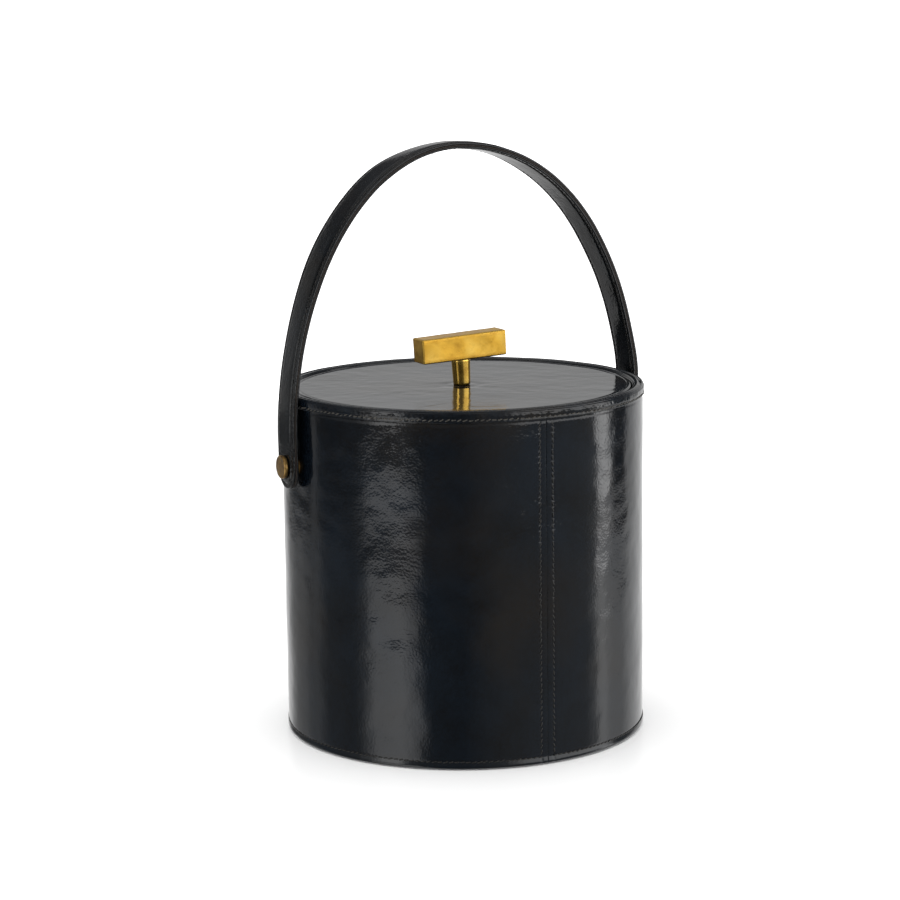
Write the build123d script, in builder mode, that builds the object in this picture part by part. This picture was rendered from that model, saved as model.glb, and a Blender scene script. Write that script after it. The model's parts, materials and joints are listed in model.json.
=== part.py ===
from build123d import *
import math
import os

# Leather-clad ice bucket: a stitched leather drum over a rigid tube, a drawn
# steel liner, an inset leather lid with a brass bar knob, and a padded strap
# handle that swings on two brass studs.
#
# Frame: millimetres, +Z up, origin at the centre of the base. The handle's
# pivot axis runs along X. The front seam faces -Y.

os.makedirs("parts", exist_ok=True)

# ------------------------------------------------------------ driving sizes
# drum
body_r = 95.0          # outer radius of the leather
rim_top = 183.4        # top of the rim binding
leather_t = 1.5        # side leather
shell_t = 3.0          # rigid tube wall
seam_gap = 0.4         # groove between the two side leathers at each seam
panel_foot = 0.4       # side leathers stop this far above the table
pad_t = 1.2            # base pad
base_t = 6.0           # base board
# rim binding
binding_t = 0.7        # binding leather
binding_drop = 5.5     # how far the binding comes down outside
ledge_top = 174.0      # upper face of the liner's flange, where the lid rests
# liner
liner_r = 84.0         # inside radius
liner_t = 0.8          # sheet thickness
liner_bottom = 12.0    # underside of the liner
# lid
lid_r = 89.0
lid_top = 182.4
lid_leather_t = 1.4
lid_edge_t = 1.4
board_t = 6.0
seal_t = 0.8
pan_r = 83.2           # plug that drops into the liner
pan_t = 0.6
pan_depth = 8.8
# knob
bar_l, bar_w, bar_h = 48.5, 12.5, 13.1
stem_l = 13.9
stem_r_low, stem_r_high = 4.5, 5.0
knob_lean = 2.7        # the knob stands this many degrees out of square, towards -X
screw_r = 2.5
# handle
pivot_z = 147.6        # height of the pivot axis
strap_w = 20.0
core_half_t = 0.4      # half the board strip through the strap
lip_outer, lip_inner = 1.9, 1.7     # middle line to the faces of the stitched lips
pad_outer, pad_inner = 2.6, 2.0     # middle line to the faces over the padding
pad_half_w = 6.0
strap_x = 99.35        # middle of the strap's thickness at the pivots
arch_rise = 160.5      # pivot axis to the middle of the strap at the apex
straight_h = 12.0      # the strap leaves the pivot straight for this far
end_h = -1.6           # centre of the strap's rounded ends, below the pivot axis
lean_back = 2.1        # the standing handle leans this many degrees towards +Y
# pivot hardware
stud_head_r, stud_head_t = 6.0, 2.2
shank_r = 2.5
strap_hole_r = 2.58    # running fit on the shank
face_gap = 0.15        # side play of the strap between spacer and stud head

# ------------------------------------------------------------ derived sizes
shell_r = body_r - leather_t                 # outside of the rigid tube
shell_ri = shell_r - shell_t                 # inside of the rigid tube
shell_top = rim_top - binding_t
board_top = lid_top - lid_leather_t
board_bottom = board_top - board_t
lid_under = board_bottom - seal_t            # 0.2 above the ledge
binding_ri = lid_r + 0.6                     # inside of the binding, round the lid
spacer_x1 = strap_x - pad_inner - face_gap
head_x0 = strap_x + pad_outer + face_gap
head_x1 = head_x0 + stud_head_t

print("overall height at the handle about", round(pivot_z + (arch_rise + pad_outer) * math.cos(math.radians(lean_back)), 1))


# ================================================================== drum
# Rigid tube that carries everything, bored for the two handle studs.
with BuildPart() as body_shell:
    with BuildSketch(Plane.XY.offset(pad_t)):
        Circle(shell_r)
        Circle(shell_ri, mode=Mode.SUBTRACT)
    extrude(amount=shell_top - pad_t)
    with BuildSketch(Plane.YZ):
        with Locations((0, pivot_z)):
            Circle(shank_r + 0.1)
    extrude(amount=body_r + 5, both=True, mode=Mode.SUBTRACT)
body_shell.part.label = "body_shell"
export_step(body_shell.part, "parts/body_shell.step")

# Board glued inside the foot of the tube.
with BuildPart() as base_board:
    with BuildSketch(Plane.XY.offset(pad_t)):
        Circle(shell_ri - 0.05)
    extrude(amount=base_t)
    chamfer(base_board.edges().group_by(Axis.Z)[-1], 0.6)
base_board.part.label = "base_board"
export_step(base_board.part, "parts/base_board.step")

# Leather pad under the tube and the board, the face the bucket stands on.
with BuildPart() as base_pad:
    with BuildSketch(Plane.XY):
        Circle(shell_r - 0.1)
    extrude(amount=pad_t)
    chamfer(base_pad.edges().group_by(Axis.Z)[0], 0.4)
base_pad.part.label = "base_pad"
export_step(base_pad.part, "parts/base_pad.step")

# Two side leathers, butted at a front seam and a back seam.
for side, keep, offset in (("left", Keep.BOTTOM, -seam_gap / 2), ("right", Keep.TOP, seam_gap / 2)):
    with BuildPart() as leather_panel:
        with BuildSketch(Plane.XY.offset(panel_foot)):
            Circle(body_r)
            Circle(shell_r, mode=Mode.SUBTRACT)
        extrude(amount=shell_top - panel_foot)
        with BuildSketch(Plane.YZ):
            with Locations((0, pivot_z)):
                Circle(shank_r + 0.1)
        extrude(amount=body_r + 5, both=True, mode=Mode.SUBTRACT)
        split(bisect_by=Plane.YZ.offset(offset), keep=keep)
        chamfer(leather_panel.edges().filter_by(GeomType.CIRCLE).group_by(Axis.Z)[0].sort_by(SortBy.LENGTH)[-1], 0.6)
    leather_panel.part.label = f"leather_panel_{side}"
    export_step(leather_panel.part, f"parts/leather_panel_{side}.step")

# Binding folded over the top of the tube and the side leathers.
with BuildPart() as rim_binding:
    with BuildSketch(Plane.XZ) as section:
        with BuildLine():
            Polyline(
                (body_r, rim_top - binding_drop),
                (body_r + binding_t, rim_top - binding_drop),
                (body_r + binding_t, rim_top),
                (binding_ri, rim_top),
                (binding_ri, ledge_top),
                (shell_ri, ledge_top),
                (shell_ri, shell_top),
                (body_r, shell_top),
                close=True,
            )
        make_face()
        fillet(section.vertices().group_by(Axis.Y)[-1], 0.75)
        fillet(section.vertices().group_by(Axis.X)[-1].sort_by(Axis.Y)[0], 0.3)
    revolve(axis=Axis.Z)
rim_binding.part.label = "rim_binding"
export_step(rim_binding.part, "parts/rim_binding.step")

# Drawn liner whose flange makes the ledge under the lid.
with BuildPart() as liner:
    with BuildSketch(Plane.XZ) as section:
        with BuildLine():
            Polyline(
                (0, liner_bottom),
                (liner_r + liner_t, liner_bottom),
                (liner_r + liner_t, ledge_top - liner_t),
                (shell_ri - 0.2, ledge_top - liner_t),
                (shell_ri - 0.2, ledge_top),
                (liner_r, ledge_top),
                (liner_r, liner_bottom + liner_t),
                (0, liner_bottom + liner_t),
                close=True,
            )
        make_face()
        outer = section.vertices().group_by(Axis.Y)[0].sort_by(Axis.X)[-1]
        inner = section.vertices().group_by(Axis.Y)[1].sort_by(Axis.X)[-1]
        lip = section.vertices().group_by(Axis.Y)[-1].sort_by(Axis.X)[0]
        fillet(outer, 8.8)
        fillet(inner, 8.0)
        fillet(lip, 0.7)
    revolve(axis=Axis.Z)
liner.part.label = "liner"
export_step(liner.part, "parts/liner.step")

# Felt sleeve between liner and tube, with a pocket round each stud's nut.
with BuildPart() as insulation_sleeve:
    with BuildSketch(Plane.XY.offset(liner_bottom)):
        Circle(shell_ri - 0.1)
        Circle(liner_r + liner_t + 0.3, mode=Mode.SUBTRACT)
    extrude(amount=ledge_top - liner_t - 0.2 - liner_bottom)
    with BuildSketch(Plane.YZ):
        with Locations((0, pivot_z)):
            Circle(8.5)
    extrude(amount=body_r, both=True, mode=Mode.SUBTRACT)
insulation_sleeve.part.label = "insulation_sleeve"
export_step(insulation_sleeve.part, "parts/insulation_sleeve.step")

# Felt disc under the liner.
with BuildPart() as insulation_disc:
    with BuildSketch(Plane.XY.offset(pad_t + base_t)):
        Circle(shell_ri - 0.1)
    extrude(amount=liner_bottom - pad_t - base_t)
insulation_disc.part.label = "insulation_disc"
export_step(insulation_disc.part, "parts/insulation_disc.step")

# ========================================================= pivot hardware
washer_x0, washer_x1 = 89.0, 90.1
nut_x0 = 86.4
shank_end = 86.0
for side, s in (("left", -1), ("right", 1)):
    # Shouldered stud: flat turned head outside, plain shank through the strap.
    with BuildPart() as pivot_stud:
        with BuildSketch(Plane.XZ):
            with BuildLine():
                Polyline(
                    (s * shank_end, pivot_z),
                    (s * shank_end, pivot_z + shank_r - 0.4),
                    (s * (shank_end + 0.4), pivot_z + shank_r),
                    (s * head_x0, pivot_z + shank_r),
                    (s * head_x0, pivot_z + stud_head_r),
                    (s * (head_x1 - 0.7), pivot_z + stud_head_r),
                    (s * head_x1, pivot_z + stud_head_r - 0.7),
                    (s * head_x1, pivot_z),
                    close=True,
                )
            make_face()
        revolve(axis=Axis((0, 0, pivot_z), (1, 0, 0)))
    pivot_stud.part.label = f"pivot_stud_{side}"
    export_step(pivot_stud.part, f"parts/pivot_stud_{side}.step")

    # Brass spacer that keeps the strap off the drum.
    with BuildPart() as pivot_spacer:
        with BuildSketch(Plane((s * body_r, 0, pivot_z), x_dir=(0, 1, 0), z_dir=(s, 0, 0))):
            Circle(4.6)
            Circle(shank_r + 0.05, mode=Mode.SUBTRACT)
        extrude(amount=spacer_x1 - body_r)
        chamfer(pivot_spacer.faces().sort_by(Axis.X)[-1 if s > 0 else 0].outer_wire().edges(), 0.3)
    pivot_spacer.part.label = f"pivot_spacer_{side}"
    export_step(pivot_spacer.part, f"parts/pivot_spacer_{side}.step")

    # Washer inside the tube, behind the liner.
    with BuildPart() as pivot_washer:
        with BuildSketch(Plane((s * washer_x0, 0, pivot_z), x_dir=(0, 1, 0), z_dir=(s, 0, 0))):
            Circle(7.0)
            Circle(shank_r + 0.15, mode=Mode.SUBTRACT)
        extrude(amount=washer_x1 - washer_x0)
    pivot_washer.part.label = f"pivot_washer_{side}"
    export_step(pivot_washer.part, f"parts/pivot_washer_{side}.step")

    # Thin hexagon nut on the stud's end.
    with BuildPart() as pivot_nut:
        with BuildSketch(Plane((s * nut_x0, 0, pivot_z), x_dir=(0, 1, 0), z_dir=(s, 0, 0))):
            RegularPolygon(radius=4.0, side_count=6, major_radius=False)
            Circle(shank_r + 0.02, mode=Mode.SUBTRACT)
        extrude(amount=washer_x0 - nut_x0)
        chamfer(pivot_nut.edges().filter_by(GeomType.LINE).filter_by(Axis.X, reverse=True), 0.3)
    pivot_nut.part.label = f"pivot_nut_{side}"
    export_step(pivot_nut.part, f"parts/pivot_nut_{side}.step")

# ================================================================ handle
# The handle is drawn upright in its own plane, which leans back about the
# pivot axis. Its middle line is straight at each pivot, then tangent arcs.
# The right arm bows out a little before it turns in, the left arm does not.
lean = math.radians(lean_back)
up_dir = Vector(0, math.sin(lean), math.cos(lean))       # up, in the handle's plane
across_dir = Vector(0, math.cos(lean), -math.sin(lean))  # across the strap
arch_plane = Plane(origin=(0, 0, pivot_z), x_dir=(1, 0, 0), z_dir=-across_dir)


def arm_plane(x, h):
    """Plane across the strap at x, facing +X, its origin h above the pivot."""
    return Plane(origin=Vector(x, 0, pivot_z) + up_dir * h, x_dir=across_dir, z_dir=(1, 0, 0))


def half_arcs(bow, bow_r, turn3, turn2, r3):
    """Tangent arcs of one arm as (centre, radius, first and last angle).

    Angles are those of the outward normal, from level to straight up. The
    last two radii are solved so that the arm ends level at the apex.
    """
    a1, a2 = turn3, turn3 + turn2
    x = strap_x + bow_r * (1 - math.cos(bow))
    h = straight_h + bow_r * math.sin(bow)
    need_x = 0 - x - r3 * (math.cos(a1) - math.cos(bow))
    need_h = arch_rise - h - r3 * (math.sin(a1) + math.sin(bow))
    m11, m12 = math.cos(a2) - math.cos(a1), -math.cos(a2)
    m21, m22 = math.sin(a2) - math.sin(a1), 1 - math.sin(a2)
    det = m11 * m22 - m12 * m21
    r2 = (need_x * m22 - m12 * need_h) / det
    r1 = (m11 * need_h - m21 * need_x) / det
    arcs = []
    if bow > 0:
        arcs.append(((strap_x + bow_r, straight_h), -bow_r, 0.0, -bow))
    for radius, first, last in ((r3, -bow, a1), (r2, a1, a2), (r1, a2, math.pi / 2)):
        centre = (x - radius * math.cos(first), h - radius * math.sin(first))
        arcs.append((centre, radius, first, last))
        x, h = centre[0] + radius * math.cos(last), centre[1] + radius * math.sin(last)
    return arcs


right_arcs = half_arcs(math.radians(2.7), 141.9, math.radians(29.1), math.radians(34.6), 174.4)
left_arcs = half_arcs(0.0, 0.0, math.radians(22.4), math.radians(22.8), 218.2)
print("arch radii", [round(a[1], 1) for a in right_arcs], [round(a[1], 1) for a in left_arcs])


def arc_points(arc, d, s):
    """Start, middle and end of an arc moved outward by d; s=-1 mirrors it."""
    (cx, ch), radius, first, last = arc
    if radius < 0:
        # bowing arc, centred outside the arch
        r = -radius - d
        return [(s * (cx - r * math.cos(a)), ch + r * math.sin(-a)) for a in (first, (first + last) / 2, last)]
    r = radius + d
    return [(s * (cx + r * math.cos(a)), ch + r * math.sin(a)) for a in (first, (first + last) / 2, last)]


def draw_side(d, start_h):
    """Lines and arcs of the strap's middle line moved outward by d."""
    Line((strap_x + d, start_h), (strap_x + d, straight_h))
    for arc in right_arcs:
        ThreePointArc(*arc_points(arc, d, 1))
    for arc in reversed(left_arcs):
        ThreePointArc(*reversed(arc_points(arc, d, -1)))
    Line((-strap_x - d, straight_h), (-strap_x - d, start_h))


def ribbon(d0, d1, start_h=end_h):
    """Closed outline of a layer of the strap, between offsets d0 and d1."""
    with BuildLine() as outline:
        draw_side(d1, start_h)
        Line((-strap_x - d1, start_h), (-strap_x - d0, start_h))
        draw_side(d0, start_h)
        Line((strap_x + d0, start_h), (strap_x + d1, start_h))
    return outline.edges()


# Each leather has flat lips along both edges and a raised middle over the
# padding; both run round the strap's half-round ends.
padding_outer_t = pad_outer - lip_outer
padding_inner_t = pad_inner - lip_inner
for name, lip, rise in (
    ("handle_outer_leather", (core_half_t, lip_outer), (core_half_t + padding_outer_t, pad_outer)),
    ("handle_inner_leather", (-lip_inner, -core_half_t), (-pad_inner, -core_half_t - padding_inner_t)),
):
    with BuildPart() as handle_leather:
        # lips
        with BuildSketch(arch_plane):
            make_face(ribbon(*lip))
        extrude(amount=strap_w / 2, both=True)
        with BuildSketch(arm_plane(0, end_h)):
            Rectangle(2 * pad_half_w + 0.2, 400, align=(Align.CENTER, Align.MIN))
        extrude(amount=140, both=True, mode=Mode.SUBTRACT)
        for x in (strap_x + lip[0], -strap_x - lip[1]):
            with BuildSketch(arm_plane(x, end_h)):
                Circle(strap_w / 2)
                Circle(pad_half_w + 0.1, mode=Mode.SUBTRACT)
                Rectangle(3 * strap_w, 2 * strap_w, align=(Align.CENTER, Align.MIN), mode=Mode.SUBTRACT)
            extrude(amount=lip[1] - lip[0])
        # raised middle
        with BuildSketch(arch_plane):
            make_face(ribbon(*rise))
        extrude(amount=pad_half_w + 0.7, both=True)
        for x in (strap_x + rise[0], -strap_x - rise[1]):
            with BuildSketch(arm_plane(x, end_h)):
                Circle(pad_half_w + 0.7)
                Rectangle(3 * strap_w, 2 * strap_w, align=(Align.CENTER, Align.MIN), mode=Mode.SUBTRACT)
            extrude(amount=rise[1] - rise[0])
        # stud holes
        with BuildSketch(arm_plane(0, 0)):
            Circle(strap_hole_r)
        extrude(amount=140, both=True, mode=Mode.SUBTRACT)
    handle_leather.part.label = name
    export_step(handle_leather.part, f"parts/{name}.step")

# Stiff board strip through the middle of the strap, and the padding each side.
for name, d0, d1, half_w in (
    ("handle_core", -core_half_t, core_half_t, strap_w / 2),
    ("handle_padding_outer", core_half_t, core_half_t + padding_outer_t, pad_half_w),
    ("handle_padding_inner", -core_half_t - padding_inner_t, -core_half_t, pad_half_w),
):
    with BuildPart() as strap_layer:
        with BuildSketch(arch_plane):
            make_face(ribbon(d0, d1))
        extrude(amount=half_w, both=True)
        for x in (strap_x + d0, -strap_x - d1):
            with BuildSketch(arm_plane(x, end_h)):
                Circle(half_w)
                Rectangle(3 * strap_w, 2 * strap_w, align=(Align.CENTER, Align.MIN), mode=Mode.SUBTRACT)
            extrude(amount=d1 - d0)
        with BuildSketch(arm_plane(0, 0)):
            Circle(strap_hole_r)
        extrude(amount=140, both=True, mode=Mode.SUBTRACT)
    strap_layer.part.label = name
    export_step(strap_layer.part, f"parts/{name}.step")

# =================================================================== lid
# The screw that holds the knob sits in a counterbore under the board.
bore_r, bore_depth = 6.6, 3.6
with BuildPart() as lid_board:
    with BuildSketch(Plane.XY.offset(board_bottom)):
        Circle(lid_r - lid_edge_t)
    extrude(amount=board_t)
    with Locations(Plane((0, 0, board_bottom), z_dir=(0, 0, -1))):
        CounterBoreHole(radius=screw_r + 0.45, counter_bore_radius=bore_r, counter_bore_depth=bore_depth)
lid_board.part.label = "lid_board"
export_step(lid_board.part, "parts/lid_board.step")

with BuildPart() as lid_top_leather:
    with BuildSketch(Plane.XY.offset(board_top)):
        Circle(lid_r)
        Circle(screw_r + 0.45, mode=Mode.SUBTRACT)
    extrude(amount=lid_leather_t)
    fillet(lid_top_leather.edges().group_by(Axis.Z)[-1].sort_by(SortBy.RADIUS)[-1], 0.7)
lid_top_leather.part.label = "lid_top_leather"
export_step(lid_top_leather.part, "parts/lid_top_leather.step")

# Leather band round the edge of the board.
with BuildPart() as lid_edge_band:
    with BuildSketch(Plane.XY.offset(lid_under)):
        Circle(lid_r)
        Circle(lid_r - lid_edge_t, mode=Mode.SUBTRACT)
    extrude(amount=board_top - lid_under)
    chamfer(lid_edge_band.edges().group_by(Axis.Z)[0].sort_by(SortBy.RADIUS)[-1], 0.4)
lid_edge_band.part.label = "lid_edge_band"
export_step(lid_edge_band.part, "parts/lid_edge_band.step")

# Felt ring that meets the liner's flange.
with BuildPart() as lid_seal_ring:
    with BuildSketch(Plane.XY.offset(lid_under)):
        Circle(lid_r - lid_edge_t)
        Circle(pan_r + 0.2, mode=Mode.SUBTRACT)
    extrude(amount=seal_t)
lid_seal_ring.part.label = "lid_seal_ring"
export_step(lid_seal_ring.part, "parts/lid_seal_ring.step")

# Drawn steel pan under the lid, and the felt it holds.
pan_bottom = board_bottom - pan_depth
with BuildPart() as lid_pan:
    with BuildSketch(Plane.XZ) as section:
        with BuildLine():
            Polyline(
                (0, pan_bottom),
                (pan_r, pan_bottom),
                (pan_r, board_bottom),
                (pan_r - pan_t, board_bottom),
                (pan_r - pan_t, pan_bottom + pan_t),
                (0, pan_bottom + pan_t),
                close=True,
            )
        make_face()
        outer = section.vertices().group_by(Axis.Y)[0].sort_by(Axis.X)[-1]
        inner = section.vertices().group_by(Axis.Y)[1].sort_by(Axis.X)[-1]
        fillet(outer, 2.0)
        fillet(inner, 1.4)
    revolve(axis=Axis.Z)
lid_pan.part.label = "lid_pan"
export_step(lid_pan.part, "parts/lid_pan.step")

with BuildPart() as lid_insulation:
    with BuildSketch(Plane.XY.offset(pan_bottom + pan_t)):
        Circle(pan_r - pan_t - 0.1)
    extrude(amount=pan_depth - pan_t)
    chamfer(lid_insulation.edges().group_by(Axis.Z)[0], 1.5)
lid_insulation.part.label = "lid_insulation"
export_step(lid_insulation.part, "parts/lid_insulation.step")

# ------------------------------------------------------------------- knob
# Square brass bar on a tapered stem. The stem, the bar and the screw share
# one axis, which leans a little; the stem's foot is cut flush with the lid.
tip = math.radians(knob_lean)
knob_axis = Vector(-math.sin(tip), 0, math.cos(tip))
knob_foot = Vector(0, 0, lid_top)


def knob_plane(h):
    """Plane square to the knob's axis, h along it from the lid's top."""
    return Plane(origin=knob_foot + knob_axis * h, x_dir=(math.cos(tip), 0, math.sin(tip)), z_dir=knob_axis)


spigot_r, spigot_l = 3.0, 5.0
with BuildPart() as knob_stem:
    with BuildSketch(knob_plane(-1.0)):
        Circle(stem_r_low)
    with BuildSketch(knob_plane(stem_l)):
        Circle(stem_r_high)
    loft()
    split(bisect_by=Plane.XY.offset(lid_top), keep=Keep.TOP)
    with BuildSketch(knob_plane(stem_l)):
        Circle(spigot_r)
    extrude(amount=spigot_l)
    with BuildSketch(knob_plane(-1.0)):
        Circle(screw_r + 0.02)
    extrude(amount=9.5, mode=Mode.SUBTRACT)
knob_stem.part.label = "knob_stem"
export_step(knob_stem.part, "parts/knob_stem.step")

with BuildPart() as knob_bar:
    with BuildSketch(knob_plane(stem_l)):
        Rectangle(bar_l, bar_w)
    extrude(amount=bar_h)
    fillet(knob_bar.edges(), 0.6)
    with BuildSketch(knob_plane(stem_l)):
        Circle(spigot_r + 0.02)
    extrude(amount=spigot_l + 0.2, mode=Mode.SUBTRACT)
knob_bar.part.label = "knob_bar"
export_step(knob_bar.part, "parts/knob_bar.step")

# Screw from below through the board and the leather into the stem.
screw_ceiling = board_bottom + bore_depth - lid_top    # along z, from the lid's top
with BuildPart() as knob_screw:
    with BuildSketch(knob_plane(screw_ceiling - 1.1)):
        Circle(screw_r)
    extrude(amount=8.0 - screw_ceiling + 1.1)
    with BuildSketch(knob_plane(screw_ceiling - 1.1)):
        Circle(4.3)
    extrude(amount=-2.0)
knob_screw.part.label = "knob_screw"
export_step(knob_screw.part, "parts/knob_screw.step")

with BuildPart() as knob_washer:
    with BuildSketch(Plane.XY.offset(lid_top + screw_ceiling - 0.8)):
        Circle(6.0)
        Circle(screw_r + 0.3, mode=Mode.SUBTRACT)
    extrude(amount=0.8)
knob_washer.part.label = "knob_washer"
export_step(knob_washer.part, "parts/knob_washer.step")
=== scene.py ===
import json
import math

import bpy
import numpy as np
from mathutils import Matrix, Vector


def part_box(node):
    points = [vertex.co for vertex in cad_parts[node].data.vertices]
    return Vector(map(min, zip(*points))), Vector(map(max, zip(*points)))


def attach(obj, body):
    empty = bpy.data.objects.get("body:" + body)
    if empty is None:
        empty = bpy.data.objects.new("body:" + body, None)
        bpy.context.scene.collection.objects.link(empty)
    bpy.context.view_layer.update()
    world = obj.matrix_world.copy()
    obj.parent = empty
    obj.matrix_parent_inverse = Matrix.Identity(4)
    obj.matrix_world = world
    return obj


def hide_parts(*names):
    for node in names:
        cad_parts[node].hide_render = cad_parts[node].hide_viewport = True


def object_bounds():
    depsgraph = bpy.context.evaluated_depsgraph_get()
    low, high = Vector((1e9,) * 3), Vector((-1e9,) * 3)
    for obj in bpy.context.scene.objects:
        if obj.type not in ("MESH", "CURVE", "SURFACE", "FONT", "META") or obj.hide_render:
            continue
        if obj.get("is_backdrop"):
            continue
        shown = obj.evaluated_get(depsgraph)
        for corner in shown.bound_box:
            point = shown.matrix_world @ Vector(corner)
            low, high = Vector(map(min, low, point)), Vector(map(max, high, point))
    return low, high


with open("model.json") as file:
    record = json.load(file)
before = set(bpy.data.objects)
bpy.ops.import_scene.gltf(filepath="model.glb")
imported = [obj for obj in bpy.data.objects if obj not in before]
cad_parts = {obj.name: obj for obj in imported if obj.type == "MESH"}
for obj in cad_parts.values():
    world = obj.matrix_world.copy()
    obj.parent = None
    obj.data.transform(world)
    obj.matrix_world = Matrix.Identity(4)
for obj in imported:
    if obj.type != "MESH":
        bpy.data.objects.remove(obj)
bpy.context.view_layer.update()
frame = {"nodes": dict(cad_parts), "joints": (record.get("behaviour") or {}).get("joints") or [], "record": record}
nodes = frame["nodes"]
scene = bpy.context.scene

MM = 0.001
TAU = 2 * math.pi


# ------------------------------------------------------------ sizes from the frame
def box(name):
    lo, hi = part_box(name)
    return np.array(lo) / MM, np.array(hi) / MM      # millimetres


panel_lo, panel_hi = box("leather_panel_left")
shell_lo, shell_hi = box("body_shell")
rim_lo, rim_hi = box("rim_binding")
lid_lo, lid_hi = box("lid_top_leather")
band_lo, band_hi = box("lid_edge_band")
core_lo, core_hi = box("handle_core")
bar_lo, bar_hi = box("knob_bar")
stem_lo, stem_hi = box("knob_stem")

R = -panel_lo[0]                    # drum radius
FOOT = panel_lo[2]                  # side leathers start this far up
PANEL_TOP = panel_hi[2]
SHELL_R = shell_hi[0]
RIM_TOP = rim_hi[2]
RIM_R = rim_hi[0]
LEDGE = rim_lo[2]
LID_R = lid_hi[0]
LID_TOP = lid_hi[2]
LID_LOW = lid_lo[2]
RIM_RI = LID_R + 0.6
pivot = next(j for j in frame["joints"] if j["type"] == "hinge")
PIVOT_Z = pivot["pos_m"][2] / MM


# ------------------------------------------------------------ small tools
def field(points, wavelength, seed, n=36, stretch=(1.0, 1.0, 1.0)):
    """Smooth pseudo-random field with unit variance at points (k, 3), in millimetres."""
    rng = np.random.default_rng(seed)
    k = rng.normal(size=(n, 3))
    k /= np.linalg.norm(k, axis=1)[:, None]
    k *= (TAU / wavelength) * rng.uniform(0.6, 1.5, (n, 1))
    k *= np.array(stretch)[None, :]
    phase = rng.uniform(0, TAU, n)
    out = np.zeros(len(points))
    for i in range(n):
        out += np.cos(points @ k[i] + phase[i])
    return out * math.sqrt(2.0 / n)


class Builder:
    """Collects grids of points, in millimetres, into one mesh object."""

    def __init__(self):
        self.verts, self.faces, self.count = [], [], 0
        self.attrs = {}

    def add(self, v):
        start = self.count
        self.verts.append(np.asarray(v, float).reshape(-1, 3))
        self.count += len(self.verts[-1])
        return start

    def grid(self, p, wrap_u=False, wrap_v=False, flip=False):
        """p is (nu, nv, 3). Faces run round u, then v."""
        nu, nv = p.shape[:2]
        start = self.add(p)
        u = np.arange(nu if wrap_u else nu - 1)
        v = np.arange(nv if wrap_v else nv - 1)
        uu, vv = np.meshgrid(u, v, indexing="ij")
        u1, v1 = (uu + 1) % nu, (vv + 1) % nv
        a, b, c, d = uu * nv + vv, u1 * nv + vv, u1 * nv + v1, uu * nv + v1
        quads = np.stack([a, d, c, b] if flip else [a, b, c, d], axis=-1).reshape(-1, 4) + start
        self.faces.extend(quads.tolist())
        return start

    def fan(self, ring, flip=False):
        """One face over a ring of vertex indices."""
        ring = list(ring)
        self.faces.append(ring[::-1] if flip else ring)

    def build(self, name, material, body, replaces=(), attr=None, weld=None):
        v = np.concatenate(self.verts) * MM
        me = bpy.data.meshes.new(name)
        me.from_pydata(v.tolist(), [], self.faces)
        if attr is not None:
            for key, values in attr.items():
                layer = me.attributes.new(key, "FLOAT", "POINT")
                layer.data.foreach_set("value", np.asarray(values, np.float32))
        me.validate()
        me.update()
        import bmesh
        bm = bmesh.new()
        bm.from_mesh(me)
        if weld:
            bmesh.ops.remove_doubles(bm, verts=bm.verts, dist=weld * MM)
        bmesh.ops.dissolve_degenerate(bm, dist=1e-7, edges=bm.edges)
        bmesh.ops.recalc_face_normals(bm, faces=bm.faces)
        bm.to_mesh(me)
        bm.free()
        me.polygons.foreach_set("use_smooth", [True] * len(me.polygons))
        ob = bpy.data.objects.new(name, me)
        scene.collection.objects.link(ob)
        me.materials.append(material)
        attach(ob, body)
        if replaces:
            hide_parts(*replaces)
        return ob


def lathe(profile, n, centre=(0, 0, 0), axis="z", closed=True):
    """Revolves a closed (r, z) profile. Returns (nu, nv, 3) in millimetres."""
    phi = np.linspace(0, TAU, n, endpoint=False)
    r, z = np.array(profile)[:, 0], np.array(profile)[:, 1]
    p = np.zeros((n, len(r), 3))
    p[:, :, 0] = np.outer(np.sin(phi), r)
    p[:, :, 1] = -np.outer(np.cos(phi), r)
    p[:, :, 2] = z[None, :]
    if axis == "x":
        p = np.stack([p[:, :, 2], p[:, :, 0], p[:, :, 1]], axis=-1)
    return p + np.array(centre)


def arc(cx, cy, r, a0, a1, n):
    a = np.radians(np.linspace(a0, a1, n))
    return [(cx + r * math.cos(t), cy + r * math.sin(t)) for t in a]


def add_stitches(b, centres, along, normals, length, radius, rng, slant=0.0, lift=0.35, jitter=0.12):
    """Short lengths of thread lying on a surface, each end diving into it."""
    sides, rings = 8, 9
    s = np.linspace(-1, 1, rings)
    ring_a = np.linspace(0, TAU, sides, endpoint=False)
    for c, t, n in zip(centres, along, normals):
        side = np.cross(n, t)
        ang = slant + rng.normal(0, jitter)
        d = t * math.cos(ang) + side * math.sin(ang)
        q = np.cross(n, d)
        half = length / 2 * (1 + rng.normal(0, 0.05))
        r = radius * (1 + rng.normal(0, 0.06))
        hump = lift * radius * (1 + rng.normal(0, 0.15))
        off = rng.normal(0, 0.05, 3)
        pts = np.zeros((rings, sides, 3))
        for i, x in enumerate(s):
            h = hump - (abs(x) ** 4) * (hump + 0.75 * radius)
            w = r * (1 - 0.55 * abs(x) ** 5)
            mid = c + off + d * (x * half) + n * h
            pts[i] = mid + np.outer(np.cos(ring_a) * w * 1.08, q) + np.outer(np.sin(ring_a) * w * 0.85, n)
        start = b.grid(pts, wrap_v=True)
        b.fan(range(start, start + sides))
        b.fan(range(start + (rings - 1) * sides, start + rings * sides), flip=True)


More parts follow.
